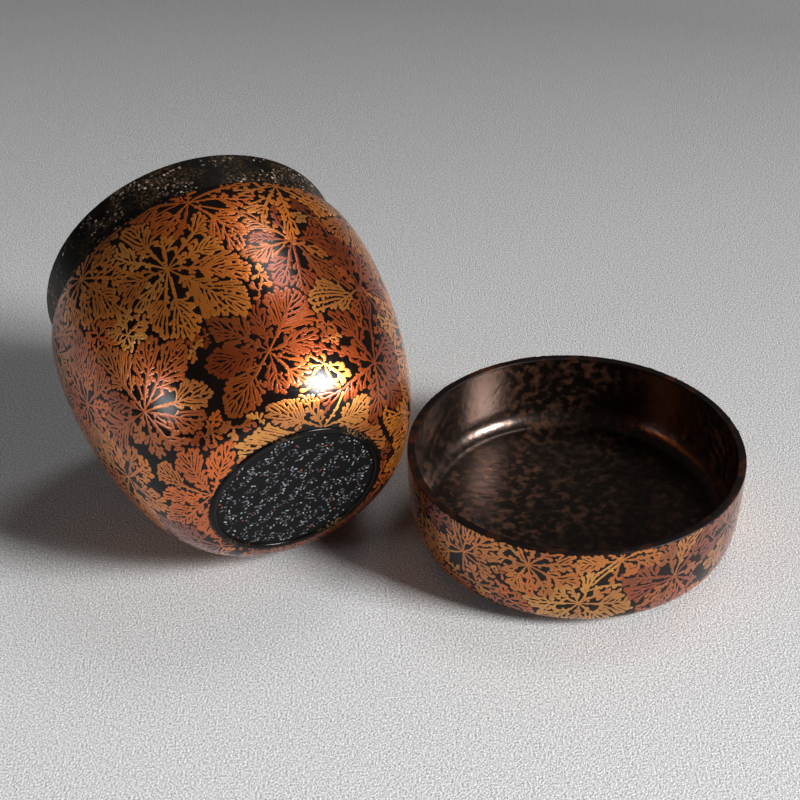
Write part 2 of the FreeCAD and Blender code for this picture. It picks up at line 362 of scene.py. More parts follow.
# Black lacquer over fine dust, worn brownish in drifts where the hand rubs it
neck_lacquer, place = finish("dusted_black_lacquer")
drift = node(neck_lacquer, NOISE, {"Scale": across(5), "Detail": 4.0}, {"Vector": place})[0]
bare = node(neck_lacquer, RANGE, {"From Min": 0.42, "From Max": 0.66}, {"Value": drift})[0]
dust = node(neck_lacquer, NOISE, {"Scale": across(0.5), "Detail": 4.0}, {"Vector": place})[0]
shown = node(neck_lacquer, RANGE, {"From Min": 0.46, "From Max": 0.66}, {"Value": dust})[0]
amount = node(neck_lacquer, MATH, {"operation": "MULTIPLY"}, {0: bare, 1: shown})[0]
colour = node(neck_lacquer, MIX,
              {"data_type": "RGBA", FIRST: srgb("#0a0908"), SECOND: srgb("#42331f")},
              {0: amount})[MIXED]
relief = node(neck_lacquer, BUMP, {"Distance": 0.01 * MM}, {"Height": dust})[0]
surface = node(neck_lacquer, PRINCIPLED, {"Roughness": 0.36, "IOR": 1.22},
               {"Base Color": colour, "Normal": relief})[0]
node(neck_lacquer, OUTPUT, {}, {"Surface": surface})

# Black lacquer clouded with bronze powder: soft brown blotches that shine only towards the light
clouded, place = finish("clouded_lacquer")
wide = node(clouded, NOISE, {"Scale": across(8), "Detail": 3.0}, {"Vector": place})[0]
patch = node(clouded, RANGE, {"From Min": 0.4, "From Max": 0.64, "To Min": 0.2, "To Max": 1.0},
             {"Value": wide})[0]
small = node(clouded, NOISE, {"Scale": across(1.8), "Detail": 5.0}, {"Vector": place})[0]
blotch = node(clouded, RANGE, {"From Min": 0.48, "From Max": 0.84}, {"Value": small})[0]
amount = node(clouded, MATH, {"operation": "MULTIPLY"}, {0: patch, 1: blotch})[0]
colour = node(clouded, MIX, {"data_type": "RGBA", FIRST: srgb("#070605"), SECOND: srgb("#684634")},
              {0: amount})[MIXED]
metal = node(clouded, RANGE, {"To Max": 0.6}, {"Value": amount})[0]
sheen = node(clouded, RANGE, {"To Min": 0.17, "To Max": 0.31}, {"Value": small})[0]
relief = node(clouded, BUMP, {"Distance": 0.07 * MM}, {"Height": small})[0]
surface = node(clouded, PRINCIPLED, {"IOR": 1.72, "Specular Tint": srgb("#ffdccb")},
               {"Base Color": colour, "Metallic": metal, "Roughness": sheen, "Normal": relief})[0]
node(clouded, OUTPUT, {}, {"Surface": surface})

# Matt grey-black ground of the foot, in which silver flakes lie
foot_lacquer, place = finish("flaked_foot_lacquer")
cloud = node(foot_lacquer, NOISE, {"Scale": across(3), "Detail": 4.0}, {"Vector": place})[0]
colour = node(foot_lacquer, MIX,
              {"data_type": "RGBA", FIRST: srgb("#080808"), SECOND: srgb("#101010")},
              {0: cloud})[MIXED]
grain = node(foot_lacquer, NOISE, {"Scale": across(0.3)}, {"Vector": place})[0]
relief = node(foot_lacquer, BUMP, {"Distance": 0.01 * MM}, {"Height": grain})[0]
surface = node(foot_lacquer, PRINCIPLED, {"Roughness": 0.5, "IOR": 1.2},
               {"Base Color": colour, "Normal": relief})[0]
node(foot_lacquer, OUTPUT, {}, {"Surface": surface})

# Dark lacquer along an edge, rubbed thin in places, so that its red-brown ground warms it
edge_lacquer, place = finish("rubbed_edge_lacquer")
wear = node(edge_lacquer, NOISE, {"Scale": across(4), "Detail": 4.0}, {"Vector": place})[0]
thin_film = node(edge_lacquer, RANGE, {"From Min": 0.5, "From Max": 0.8}, {"Value": wear})[0]
colour = node(edge_lacquer, MIX,
              {"data_type": "RGBA", FIRST: srgb("#0c0706"), SECOND: srgb("#42200f")},
              {0: thin_film})[MIXED]
grain = node(edge_lacquer, NOISE, {"Scale": across(0.6)}, {"Vector": place})[0]
relief = node(edge_lacquer, BUMP, {"Distance": 0.008 * MM}, {"Height": grain})[0]
surface = node(edge_lacquer, PRINCIPLED, {"Roughness": 0.4, "IOR": 1.26},
               {"Base Color": colour, "Normal": relief})[0]
node(edge_lacquer, OUTPUT, {}, {"Surface": surface})

# Black lacquer of the foot's bead, worn through to pale gold powder where it has slid on tables
bead_lacquer, place = finish("worn_bead_lacquer")
stretch = node(bead_lacquer, NOISE, {"Scale": across(9), "Detail": 1.0}, {"Vector": place})[0]
worn = node(bead_lacquer, RANGE, {"From Min": 0.58, "From Max": 0.76}, {"Value": stretch})[0]
speck = node(bead_lacquer, NOISE, {"Scale": across(0.45), "Detail": 3.0}, {"Vector": place})[0]
shown = node(bead_lacquer, RANGE, {"From Min": 0.5, "From Max": 0.62}, {"Value": speck})[0]
amount = node(bead_lacquer, MATH, {"operation": "MULTIPLY"}, {0: worn, 1: shown})[0]
colour = node(bead_lacquer, MIX,
              {"data_type": "RGBA", FIRST: srgb("#0a0706"), SECOND: srgb("#80643e")},
              {0: amount})[MIXED]
relief = node(bead_lacquer, BUMP, {"Distance": 0.015 * MM}, {"Height": speck})[0]
surface = node(bead_lacquer, PRINCIPLED, {"Roughness": 0.18, "IOR": 1.24},
               {"Base Color": colour, "Normal": relief})[0]
node(bead_lacquer, OUTPUT, {}, {"Surface": surface})

# Metal leaf cut into flakes, dulled under lacquer; the metal of each flake is stored on its points
dulled_flake, place = finish("dulled_metal_flake")
metal = node(dulled_flake, ATTRIBUTE, {"attribute_name": "tint"})["Color"]
tone = node(dulled_flake, NOISE, {"Scale": across(0.9)}, {"Vector": place})[0]
shade = node(dulled_flake, RANGE, {"From Min": 0.3, "From Max": 0.7, "To Min": 0.7, "To Max": 1.15},
             {"Value": tone})[0]
colour = node(dulled_flake, VECTOR_MATH, {"operation": "SCALE"}, {0: metal, "Scale": shade})[0]
surface = node(dulled_flake, PRINCIPLED, {"Metallic": 0.4, "Roughness": 0.45},
               {"Base Color": colour})[0]
node(dulled_flake, OUTPUT, {}, {"Surface": surface})

# Turned hardwood, seen only where a coat is lifted off
wood, place = finish("turned_hardwood")
rings = node(wood, "ShaderNodeTexWave", {"Scale": across(14), "Distortion": 3.0},
             {"Vector": place})[1]
colour = node(wood, MIX, {"data_type": "RGBA", FIRST: srgb("#a87c50"), SECOND: srgb("#8a5f38")},
              {0: rings})[MIXED]
relief = node(wood, BUMP, {"Distance": 0.03 * MM}, {"Height": rings})[0]
surface = node(wood, PRINCIPLED, {"Roughness": 0.6}, {"Base Color": colour, "Normal": relief})[0]
node(wood, OUTPUT, {}, {"Surface": surface})

for name in ("vessel_core", "lid_core"):
    frame["nodes"][name].data.materials.clear()
    frame["nodes"][name].data.materials.append(wood)


side = curve(VESSEL_SIDE, VESSEL_POINTS)
side_inner = inset(side, COAT)
side_inner[0] = (FOOT_RADIUS, side_inner[0, 1])
side_inner[-1] = (side_inner[-1, 0], VESSEL_HEIGHT - COAT)
wood_foot = side_inner[0, 1]
ledge_edge = side_inner[-1, 0]
turned("vessel_coat_gloss", np.vstack([side, [(ledge_edge, VESSEL_HEIGHT)], side_inner[::-1]]),
       "vessel", "vessel_coat", black_lacquer)

lip = MOUTH_HEIGHT - COAT
turned("neck_dusted", [
    (ledge_edge, VESSEL_HEIGHT), (NECK_RADIUS, VESSEL_HEIGHT), (NECK_RADIUS, lip),
    (NECK_RADIUS - COAT, lip), (NECK_RADIUS - COAT, VESSEL_HEIGHT - COAT),
    (ledge_edge, VESSEL_HEIGHT - COAT)],
    "vessel", "vessel_neck_coat", neck_lacquer)

turned("mouth_rim_gloss", np.vstack([
    [(MOUTH_RADIUS, lip), (NECK_RADIUS, lip)],
    quarter((NECK_RADIUS - ROUNDING, MOUTH_HEIGHT - ROUNDING), (ROUNDING, ROUNDING), 0, 90),
    quarter((MOUTH_RADIUS + ROUNDING, MOUTH_HEIGHT - ROUNDING), (ROUNDING, ROUNDING), 90, 180)]),
    "vessel", "vessel_mouth_rim", edge_lacquer)

hollow = curve(CAVITY_SIDE, CAVITY_POINTS)
turned("vessel_lining_gloss", np.vstack([
    [(0, FLOOR_HEIGHT)], hollow, [(MOUTH_RADIUS, lip), (MOUTH_RADIUS + COAT, lip)],
    inset(hollow, -COAT)[::-1], [(0, FLOOR_HEIGHT - COAT)]]),
    "vessel", "vessel_lining", black_lacquer)

land = FOOT_RADIUS - (BEAD_WIDTH + BEAD_LAND) / 2
round_width = (BEAD_WIDTH - BEAD_LAND) / 2
panel_radius = FOOT_RADIUS - BEAD_WIDTH
turned("foot_bead_gloss", np.vstack([
    quarter((land, BEAD_HEIGHT), (round_width, BEAD_HEIGHT), 180, 270),
    quarter((land + BEAD_LAND, BEAD_HEIGHT), (round_width, BEAD_HEIGHT), 270, 360),
    [(FOOT_RADIUS, wood_foot), (panel_radius, wood_foot)]]),
    "vessel", "foot_bead", bead_lacquer)

panel_face = wood_foot - PANEL
turned("foot_panel_flaked", [
    (0, panel_face), (panel_radius, panel_face), (panel_radius, wood_foot), (0, wood_foot)],
    "vessel", "foot_panel", foot_lacquer)

lid_side = curve(LID_SIDE, LID_POINTS)
lid_side_inner = inset(lid_side, COAT)
lid_outer = np.vstack([lid_side, dome(LID_SIDE[-1], LID_HEIGHT, DOME_POINTS)[1:]])
lid_wood = np.vstack([lid_side_inner,
                      dome(lid_side_inner[-1], LID_HEIGHT - COAT, DOME_POINTS)[1:]])
lid_outer[0] = (SHOULDER_RADIUS, COAT)
lid_wood[0] = (lid_wood[0, 0], COAT)
turned("lid_coat_gloss", np.vstack([lid_outer, lid_wood[::-1]]),
       "lid", "lid_coat", black_lacquer)

bore_end = curve(LID_INSIDE, LID_INSIDE_POINTS)
bore_end_inner = inset(bore_end, -COAT)
inside = np.vstack([[(BORE_RADIUS, COAT)], bore_end,
                    dome(LID_INSIDE[-1], LID_INSIDE_TOP, DOME_POINTS)[1:]])
inside_wood = np.vstack([[(BORE_RADIUS + COAT, COAT)], bore_end_inner,
                         dome(bore_end_inner[-1], LID_INSIDE_TOP + COAT, DOME_POINTS)[1:]])
turned("lid_lining_clouded", np.vstack([inside, inside_wood[::-1]]),
       "lid", "lid_lining", clouded)

turned("lid_rim_rubbed", np.vstack([
    [(SHOULDER_RADIUS, COAT)],
    quarter((SHOULDER_RADIUS - ROUNDING, ROUNDING), (ROUNDING, ROUNDING), 0, -90),
    quarter((BORE_RADIUS + ROUNDING, ROUNDING), (ROUNDING, ROUNDING), 270, 180),
    [(BORE_RADIUS, COAT)]]),
    "lid", "lid_rim", edge_lacquer)


# Powder mixtures: orange gold, deep gold, pale gold, red copper and pink copper. A leaf has its
# spray's powder with up to MOST_MIXED of another, in tones between the two of POWDER_TONES
POWDERS = np.array([srgb(code) for code in ("#dc6c22", "#ea8a32", "#f2a850", "#983f12", "#b45c28")])
POWDER_SHARES = (0.27, 0.28, 0.2, 0.14, 0.11)
MOST_MIXED = 0.6
POWDER_TONES = (0.84, 1.12)


def waves(rng, points, size, count=24):
    """Smooth random field of the points, about 0 and with a spread of about 1.

    It is a sum of plane waves, each about as long as the size.
    """
    direction = unit(rng.normal(size=(count, points.shape[1])))
    rate = 2 * np.pi / (size * rng.uniform(0.7, 1.5, count))
    phase = rng.uniform(0, 2 * np.pi, count)
    return np.sin(points @ direction.T * rate + phase).sum(1) / math.sqrt(count / 2)


def thin(points, spacing):
    """The points in order, without each that lies within the spacing of one kept before it."""
    size = (points * points).sum(1)
    close = size[:, None] + size - 2 * points @ points.T < spacing ** 2
    order = np.arange(len(points))
    waiting = np.ones(len(points), bool)
    kept = np.zeros(len(points), bool)
    while waiting.any():
        earlier = close[:, waiting] & (order[waiting] < order[:, None])
        chosen = waiting & ~earlier.any(1)
        kept |= chosen
        waiting &= ~close[:, chosen].any(1)
    return points[kept]


class Skin:
    """A turned surface seen from a point on its axis, so that every direction meets it once."""

    def __init__(self, outline, eye):
        polar = np.arctan2(outline[:, 0], outline[:, 1] - eye)
        order = np.argsort(polar)
        self.eye, self.outline = eye, outline
        self.polar, self.r, self.z = polar[order], outline[order, 0], outline[order, 1]
        self.up = np.r_[0, np.cumsum(np.hypot(*np.diff(outline, axis=0).T))][order]

    def meet(self, points):
        """Where the rays from the eye through the points meet the surface, and its normals.

        A normal is square to the outline between two rays NUDGE to either side.
        """
        ray = points - np.array([0, 0, self.eye])
        polar = np.arctan2(np.hypot(ray[..., 0], ray[..., 1]), ray[..., 2])
        turn = np.arctan2(ray[..., 1], ray[..., 0])
        r, z, r0, z0, r1, z1 = (np.interp(polar + k, self.polar, v)
                                for k in (0, -NUDGE, NUDGE) for v in (self.r, self.z))
        slope = unit(np.stack([z0 - z1, r1 - r0], -1))
        c, s = np.cos(turn), np.sin(turn)
        normal = np.stack([slope[..., 0] * c, slope[..., 0] * s, slope[..., 1]], -1)
        return np.stack([r * c, r * s, z], -1), normal

    def rise(self, points):
        """How far up the outline, from its first point, the rays through the points meet it."""
        polar = np.arctan2(np.hypot(points[..., 0], points[..., 1]), points[..., 2] - self.eye)
        return np.interp(polar, self.polar, self.up)

    def scatter(self, rng, count):
        """Points spread evenly by area over the surface."""
        run = np.hypot(*np.diff(self.outline, axis=0).T)
        middle = (self.outline[1:, 0] + self.outline[:-1, 0]) / 2
        total = np.r_[0, np.cumsum(run * middle)]
        k = np.interp(rng.random(count) * total[-1], total, np.arange(len(total)))
        r, z = (np.interp(k, np.arange(len(total)), self.outline[:, i]) for i in (0, 1))
        turn = rng.random(count) * 2 * np.pi
        return np.stack([r * np.cos(turn), r * np.sin(turn), z], 1)


def bare(points, taken, distance):
    """Which points have no taken point in their own cell of a grid or in one next to it.

    The cells are as wide as the distance.
    """
    hit = np.zeros(len(points), bool)
    if len(taken):
        cells, used = (np.floor(p / distance).astype(int) + CELL_SHIFT for p in (points, taken))
        used = np.unique(used @ CELL_WEIGHTS)
        for step in np.ndindex(3, 3, 3):
            hit |= np.isin((cells + step - 1) @ CELL_WEIGHTS, used)
    return ~hit


def leaves_around(skin, rng, centres, leaf_count, leaf_length, taken):
    """Leaves that radiate from each centre: their directions on the surface, sizes and bows.

    A leaf's midrib ends where it would meet what is drawn already, or enter another leaf.
    """
    centres, normal = skin.meet(centres)
    east = unit(np.cross([0, 0, 1.0], normal) + 1e-9)
    north = np.cross(normal, east)
    count = rng.integers(leaf_count[0], leaf_count[1] + 1, len(centres))
    owner = np.repeat(np.arange(len(centres)), count)
    rank = np.arange(len(owner)) - np.repeat(np.cumsum(count) - count, count)
    jitter = rng.uniform(-FAN_JITTER, FAN_JITTER, len(owner))
    angle = (rank + jitter) / count[owner] * 2 * np.pi
    angle += rng.uniform(0, 2 * np.pi, len(centres))[owner]
    along = np.cos(angle)[:, None] * east[owner] + np.sin(angle)[:, None] * north[owner]
    length = rng.uniform(*leaf_length, len(owner))
    leaf = {
        "spray": owner,
        "centre": centres[owner],
        "along": along,
        "across": np.cross(normal[owner], along),
        "length": length,
        "width": length * rng.uniform(*LEAF_WIDTH_SHARES, len(owner)),
        "bow": rng.uniform(-LEAF_BOW, LEAF_BOW, len(owner)),
        "phase": rng.uniform(0, 2 * np.pi, len(owner)),
    }
    s = np.linspace(0, 1, MIDRIB_POINTS) * MIDRIB_SHARE
    line = np.stack([s * length[:, None], leaf["bow"][:, None] * s ** 2], -1)
    which = np.repeat(np.arange(len(length)), MIDRIB_POINTS)
    point = lift(skin, leaf, which, line.reshape(-1, 2))[0]
    own = oval(leaf, which, *line.reshape(-1, 2).T)
    free = (own < rivals(leaf, point, which)) | (line[..., 0].ravel() < CROWDED_CENTRE)
    clear = (bare(point, taken, ROOM) & free).reshape(-1, MIDRIB_POINTS)
    leaf["rib"] = length * MIDRIB_SHARE * np.cumprod(clear, 1).sum(1) / MIDRIB_POINTS + MIDRIB_LEFT
    return leaf


def oval(leaf, which, s, t):
    """Depth in a pointed oval leaf, 0 at its middle and 1 on its edge, for s along and t across.

    It is (a^p + b^p)^(1/p), with a and b the distances from the middle over the half sizes.
    """
    along = np.abs(s / leaf["length"][which] - OVAL_MIDDLE_SHARE) / OVAL_HALF_SHARE
    sideways = np.abs(t / leaf["width"][which])
    return (along ** OVAL_POWER + sideways ** OVAL_POWER) ** (1 / OVAL_POWER)


def rivals(leaf, points, owner):
    """Least depth of each point in any leaf but its owner; leaves that are far off don't count."""
    least = []
    for block in np.array_split(np.arange(len(points)), len(points) // BLOCK + 1):
        p = points[block]
        s = p @ leaf["along"].T - (leaf["centre"] * leaf["along"]).sum(1)
        t = p @ leaf["across"].T - (leaf["centre"] * leaf["across"]).sum(1)
        depth = oval(leaf, slice(None), s, t)
        square = (p * p).sum(1)[:, None] + (leaf["centre"] ** 2).sum(1) - 2 * p @ leaf["centre"].T
        depth[square > (FAR_OFF * leaf["length"]) ** 2] = OUTSIDE
        depth[np.arange(len(block)), owner[block]] = OUTSIDE
        least.append(depth.min(1))
    return np.concatenate(least)


def lift(skin, leaf, which, flat):
    """Flat leaf coordinates (along, across), carried onto the surface with its normals."""
    return skin.meet(leaf["centre"][which] + flat[..., :1] * leaf["along"][which]
                     + flat[..., 1:] * leaf["across"][which])


def shear(flat, direction):
    """Leaf coordinates slid along the midrib by BRANCH_SLOPE times the distance d from it.

    At the midrib d is rounded, to the root of d^2 + b^2, less b, with b the BRANCH_ROUNDING.
    """
    rise = BRANCH_SLOPE * (np.sqrt(flat[..., 1] ** 2 + BRANCH_ROUNDING ** 2) - BRANCH_ROUNDING)
    return np.stack([flat[..., 0] + direction * rise, flat[..., 1]], -1)


def table(owner, count):
    """Row k lists the entries that k owns, padded with -1."""
    order = np.argsort(owner, kind="stable")
    size = np.bincount(owner, minlength=count)
    rank = np.arange(len(owner)) - (np.cumsum(size) - size)[owner[order]]
    rows = np.full((count, max(1, size.max())), -1)
    rows[owner[order], rank] = order
    return rows


def nearest(points, rows, nodes):
    """Nearest node of each point's own row, and how far it is."""
    gap = np.where(rows < 0, NOWHERE, np.linalg.norm(points[:, None] - nodes[rows], axis=-1))
    best = gap.argmin(1)
    k = np.arange(len(points))
    return rows[k, best], gap[k, best]


def grow(leaf, spots, owner, kill):
    """Branches grown out of each leaf's midrib, a step a round, towards the spots to be covered.

    A node steps along the mean direction to the spots nearest to it, bent towards its own course
    and away from the spray's middle, unless that takes it close to another branch. A spot is
    covered once a node lies within its kill distance, or when the node nearest to it could not
    step for more than MOST_TRIES rounds.
    """
    count = len(leaf["length"])
    s = np.arange(int(MIDRIB_SHARE * leaf["length"].max() / STEP)) * STEP
    keep = s < leaf["rib"][:, None]
    bow = leaf["bow"][:, None] * (s / leaf["length"][:, None]) ** 2
    nodes = np.stack([np.broadcast_to(s, keep.shape), bow], -1)[keep]
    node_owner, turn = np.nonzero(keep)
    parent = np.where(turn == 0, -1, np.arange(len(nodes)) - 1)
    near, gap = nearest(spots, table(node_owner, count)[owner], nodes)
    covered = gap < kill
    tries = np.zeros(len(spots), int)
    for k in range(GROWTH_ROUNDS):
        active = np.nonzero(~covered & (gap < REACH))[0]
        if not len(active):
            break
        pull = unit(spots[active] - nodes[near[active]])
        tips, which = np.unique(near[active], return_inverse=True)
        heading = unit(np.stack([np.bincount(which, pull[:, i]) for i in (0, 1)], 1) + 1e-9)
        course = nodes[tips] - nodes[np.maximum(parent[tips], 0)]
        course = unit(np.where(parent[tips, None] < 0, [1.0, 0], course))
        ahead = unit(heading + OWN_LEAN * course + OUTWARD_LEAN * unit(nodes[tips] + [1.0, 0]))
        new = nodes[tips] + STEP * ahead
        rows = table(node_owner, count)[node_owner[tips]]
        up = parent[tips]
        mother = parent[rows]
        grand = np.where(mother < 0, -1, parent[mother])
        kin = (rows == tips[:, None]) | (mother == tips[:, None]) | (grand == tips[:, None])
        kin |= ((rows == up[:, None]) | (mother == up[:, None])) & (up[:, None] >= 0)
        kin |= (rows == parent[up][:, None]) & (up[:, None] >= 0)
        clear = nearest(new, np.where(kin, -1, rows), nodes)[1] > CLEARANCE
        others = np.where(rows == tips[:, None], -1, rows)
        clear &= nearest(new, others, nodes)[1] > OWN_CLEARANCE
        tries[active[~clear[which]]] += 1
        covered |= tries > MOST_TRIES
        new, tips, first = new[clear], tips[clear], len(nodes)
        if not len(new):
            continue
        nodes = np.vstack([nodes, new])
        parent = np.r_[parent, tips]
        turn = np.r_[turn, np.full(len(new), len(s) + k)]
        rows = table(node_owner[tips], count)[owner]
        node_owner = np.r_[node_owner, node_owner[tips]]
        newest, distance = nearest(spots, np.where(rows < 0, -1, rows + first), nodes)
        near = np.where(distance < gap, newest, near)
        gap = np.minimum(gap, distance)
        covered |= gap < kill
    return nodes, node_owner, parent, turn


def chains(nodes, owner, parent, turn):
    """Strokes in order, each along its longest branch to the tip, from its parent's place on.

    Points along a stroke are smoothed, each to half itself and a quarter of each neighbour.
    """
    reach = np.zeros(len(nodes))
    for k in range(turn.max(), 0, -1):
        now = np.nonzero((turn == k) & (parent >= 0))[0]
        np.maximum.at(reach, parent[now], reach[now] + STEP)
    grown = np.nonzero(parent >= 0)[0]
    order = grown[np.argsort(reach[grown], kind="stable")]
    heir = np.full(len(nodes), -1)
    heir[parent[order]] = order
    line = np.arange(len(nodes))
    for k in range(1, turn.max() + 1):
        now = np.nonzero((turn == k) & (parent >= 0))[0]
        now = now[heir[parent[now]] == now]
        line[now] = line[parent[now]]
    for _ in range(SMOOTHINGS):
        inner = (parent >= 0) & (heir >= 0)
        nodes[inner] = 0.5 * nodes[inner] + 0.25 * (nodes[parent[inner]] + nodes[heir[inner]])
    head = np.nonzero((line == np.arange(len(nodes))) & (parent >= 0))[0]
    place = np.vstack([nodes, nodes[parent[head]]])
    line = np.r_[line, head]
    turn = np.r_[turn, np.full(len(head), -1)]
    owner = np.r_[owner, owner[head]]
    order = np.lexsort((turn, line))
    return place[order], owner[order], line[order]


def strokes(place, owner, line):
    """Half widths along each stroke, with further rows at its tip for a round end.

    A stroke widens from ROOT to STEM over its first WIDENING and to TIP over its last CLUB, by the
    smooth step 3x^2 - 2x^3. A short one has a small tip, and all are finer near the spray's middle.
    """
    start = np.r_[True, line[1:] != line[:-1]]
    end = np.r_[start[1:], True]
    run = np.r_[0, np.linalg.norm(np.diff(place, axis=0), axis=1)]
    total = np.cumsum(np.where(start, 0, run))
    number = np.cumsum(start) - 1
    from_root = total - total[start][number]
    to_tip = total[end][number] - total
    half = ROOT + (STEM - ROOT) * np.clip(from_root / WIDENING, 0, 1)
    tip = half + (TIP - half) * np.clip((from_root + to_tip) / SHORT_STROKE, LEAST_TIP, 1)
    swell = np.clip(1 - to_tip / CLUB, 0, 1)
    half = half + (tip - half) * swell * swell * (3 - 2 * swell)
    half *= FINE_SHARE + (1 - FINE_SHARE) * np.clip(place[:, 0] / FINE_REACH, 0, 1)
    ahead = np.roll(place, -1, 0) - place
    behind = place - np.roll(place, 1, 0)
    ahead, behind = np.where(end[:, None], behind, ahead), np.where(start[:, None], ahead, behind)
    tangent = unit(unit(ahead) + unit(behind))
    index = np.repeat(np.arange(len(line)), np.where(end, len(END_FORWARD), 1))
    extra = np.arange(len(index)) - np.searchsorted(index, index)
    forward = half[index] * END_FORWARD[extra]
    half = half[index] * END_WIDTH[extra]
    place, tangent = place[index] + tangent[index] * forward[:, None], tangent[index]
    return place, tangent, half, owner[index], line[index]


def turn_share(points):
    """Turn of the points round the axis, as a share from 0 to 1."""
    return np.arctan2(points[:, 1], points[:, 0]) / (2 * np.pi) + 0.5


def tint_and_map(piece, faces, tint, turn, rise):
    """Stores the tint on the points, and a map with the turn (0 to 1) across and the rise up.

    A face over the seam of the turn goes on past 1.
    """
    colour = piece.data.attributes.new("tint", "FLOAT_COLOR", "POINT")
    colour.data.foreach_set("color", np.ascontiguousarray(tint, np.float32).ravel())
    turn = turn[faces]
    over_seam = turn.max(1, keepdims=True) - turn > 0.5
    turn = np.where(over_seam, turn + 1, turn) * MAP_WIDTH
    uv = piece.data.uv_layers.new(name="OFBake")
    uv.data.foreach_set("uv", np.stack([turn, rise[faces]], -1).astype(np.float32).ravel())


def paint(name, body, skin, leaf, stroke, chosen, tints, ends):
    """Ribbons with the section above, swept along the chosen strokes and laid on the surface."""
    place, tangent, half, owner, line = (a[chosen] for a in stroke)
    side_way = np.stack([-tangent[:, 1], tangent[:, 0]], 1)
    rows = []
    for share, height in SECTION:
        point, normal = lift(skin, leaf, owner, place + side_way * (share * half)[:, None])
        rows.append(point + normal * height)
    points = np.stack(rows, 1)
    up = skin.rise(points[:, 1:3].mean(1))
    shown = (up > ends[0]) & (up < ends[1])
    join_next = np.nonzero((line[1:] == line[:-1]) & shown[1:] & shown[:-1])[0]
    wide = len(SECTION)
    k = join_next[:, None] * wide + np.arange(wide - 1)
    faces = np.stack([k, k + 1, k + wide + 1, k + wide], -1).reshape(-1, 4)
    used = np.zeros(len(points) * wide, bool)
    used[faces] = True
    faces = (np.cumsum(used) - 1)[faces]
    flat = points.reshape(-1, 3)[used]
    piece = add_mesh(name, placed(flat, body), faces, body, gold_powder)
    tint = np.repeat(tints[owner], wide, axis=0)[used]
    tint_and_map(piece, faces, tint, turn_share(flat), skin.rise(flat) / skin.up.max())


def ground(skin, rng, leaf, taken, ends):
    """Spots that each leaf has to cover, in its own coordinates, and the leaf that owns each.

    A leaf owns the spots that lie deeper in it than in any other. Notches part its edge into lobes.
    """
    reach = leaf["length"].max() * (OVAL_MIDDLE_SHARE + OVAL_HALF_SHARE), leaf["width"].max()
    steps = np.arange(0, reach[0], SPOT), np.arange(-reach[1], reach[1], SPOT)
    grid = np.stack(np.meshgrid(*steps, indexing="ij"), -1).reshape(-1, 2)
    flat = grid + rng.uniform(-SPOT / 2, SPOT / 2, (len(leaf["length"]), len(grid), 2))
    owner, k = np.nonzero(oval(leaf, (slice(None), None), flat[..., 0], flat[..., 1]) < 1)
    flat = flat[owner, k]
    point = lift(skin, leaf, owner, flat)[0]
    offset = point - leaf["centre"][owner]
    s, t = ((offset * leaf[way][owner]).sum(1) for way in ("along", "across"))
    edge = np.minimum(rivals(leaf, point, owner), 1) - oval(leaf, owner, s, t)
    wave = np.cos(2 * np.pi * shear(flat, -1)[:, 0] / LOBE + leaf["phase"][owner]
                  + LOBE_SHIFT * np.sign(flat[:, 1]))
    up = skin.rise(point)
    keep = (edge > LEAF_MARGIN) & (wave < np.minimum(NOTCH + NOTCH_CLOSING * edge, SLIT))
    keep &= (up > ends[0] - STEP) & (up < ends[1] + STEP) & bare(point, taken, ROOM)
    return flat[keep], owner[keep]


def leaf_pattern(body, outline, eye, seed, spacing, edges, painted_shade_share):
    """All sprays of one body, from large to small, each size where the ones before left it bare.

    The pattern stops at the two edges, which are distances from the first and the last point of
    the outline. The painted shade share is the share of the powders' colours that is kept: it is
    painted shade that darkens all of a body's leaves alike.
    """
    rng = np.random.default_rng(seed)
    skin = Skin(outline, eye)
    ends = (edges[0], skin.up.max() - edges[1])
    taken = np.zeros((0, 3))
    for size, (apart, share, leaf_count, lengths, parts) in SPRAY_SIZES.items():
        spots = skin.scatter(rng, SPOTS_TRIED)
        spots = thin(spots[bare(spots, taken, apart * spacing)], share * spacing)
        leaf = leaves_around(skin, rng, spots, leaf_count, spacing * np.array(lengths), taken)
        flat, owner = ground(skin, rng, leaf, taken, ends)
        kill = KILL[0] + (KILL[1] - KILL[0]) * np.clip(flat[:, 0] / KILL_REACH, 0, 1)
        nodes, owner, parent, turn = grow(leaf, shear(flat, -1), owner, kill)
        taken = np.vstack([taken, lift(skin, leaf, owner, shear(nodes, 1))[0]])
        stroke = strokes(*chains(shear(nodes, 1), owner, parent, turn))
        count = len(leaf["length"])
        powder = rng.choice(len(POWDERS), (2, count), p=POWDER_SHARES)
        mixed = MOST_MIXED * rng.random((count, 1)) ** 2
        tints = POWDERS[powder[0][leaf["spray"]]] * (1 - mixed) + POWDERS[powder[1]] * mixed
        # Painted shade: the powders of the whole body are scaled by the painted shade share
        tints *= painted_shade_share * rng.uniform(*POWDER_TONES, (count, 1))
        tints[:, 3] = 1
        group = leaf["spray"][stroke[3]] % parts
        for part in range(parts):
            name = f"{body}_{size}_sprays_{part + 1}"
            paint(name, body, skin, leaf, stroke, group == part, tints, ends)


